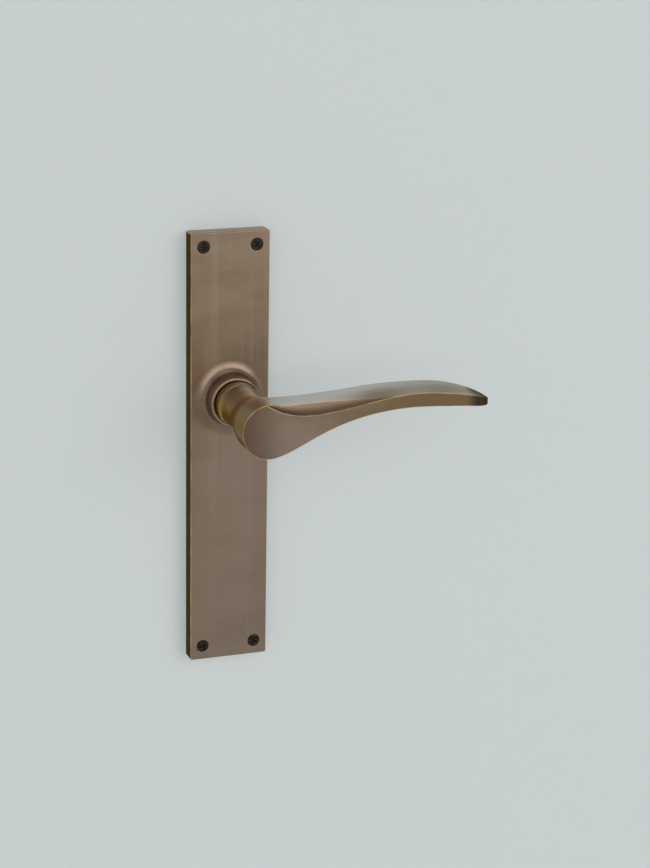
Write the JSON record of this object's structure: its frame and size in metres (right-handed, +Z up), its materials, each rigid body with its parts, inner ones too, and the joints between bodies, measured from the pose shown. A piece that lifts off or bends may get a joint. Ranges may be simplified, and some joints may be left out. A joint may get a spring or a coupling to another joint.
{
  "type": "lever handle lockset",
  "caption": "Door lever lockset on a long plain backplate: slim tapered lever with a round head on a waisted neck, spring latch with a bevelled bolt and matching inside handle.",
  "frame": {"origin": "where the spindle axis meets the outside face of the door (back plane of the outside plate)", "axes": "+X along the lever, away from the door edge; +Y through the door from outside to inside; +Z up"},
  "size_m": [0.1817, 0.186, 0.22],
  "materials": {
    "bronze": "aged bronze, satin, edges worn to gold",
    "bolt_brass": "satin brass",
    "black_steel": "blackened steel",
    "zinc_steel": "zinc plated",
    "case_steel": "lacquered pressed steel",
    "spring_steel": "drawn spring wire",
    "nylon": "moulded nylon"
  },
  "bodies": {
    "mounted": {"outside_backplate": "bronze", "inside_backplate": "bronze", "outside_neck_bush": "nylon", "inside_neck_bush": "nylon", "outside_return_spring": "spring_steel", "inside_return_spring": "spring_steel", "outside_spring_cover": "zinc_steel", "inside_spring_cover": "zinc_steel", "outside_cover_screws": "zinc_steel", "inside_cover_screws": "zinc_steel", "outside_plate_screws": "black_steel", "inside_plate_screws": "black_steel", "face_plate": "bronze", "forend": "zinc_steel", "latch_case": "case_steel", "latch_cover": "case_steel", "latch_cover_screws": "zinc_steel", "bolt_spring": "spring_steel", "spring_bridge": "zinc_steel", "face_plate_screws": "black_steel", "forend_screws": "black_steel"},
    "lever_set": {"outside_lever_handle": "bronze", "inside_lever_handle": "bronze", "outside_spring_cam": "zinc_steel", "inside_spring_cam": "zinc_steel", "outside_thrust_washer": "spring_steel", "inside_thrust_washer": "spring_steel", "outside_retaining_clip": "spring_steel", "inside_retaining_clip": "spring_steel", "outside_grub_screw": "black_steel", "inside_grub_screw": "black_steel", "spindle": "zinc_steel", "follower": "zinc_steel"},
    "latch_bolt": {"latch_bolt": "bolt_brass", "bolt_tail": "zinc_steel", "tail_rivet": "zinc_steel", "spring_guide_pin": "zinc_steel"}
  },
  "joints": [
    {"name": "lever_turn", "type": "hinge", "parent": "mounted", "child": "lever_set", "pos_m": [0, 0.022, 0], "axis": [0, 1, 0], "range_deg": [0, 50], "stiffness_Nm_per_rad": 0.6, "springref_deg": -40.11, "deforming": ["outside_return_spring", "inside_return_spring"]},
    {"name": "bolt_slide", "type": "slide", "parent": "mounted", "child": "latch_bolt", "axis": [1, 0, 0], "range_m": [0, 0.011], "deforming": ["bolt_spring"]}
  ],
  "couplings": [
    {"joint": "bolt_slide", "follows": "lever_turn", "m_per_rad": 0.012}
  ]
}
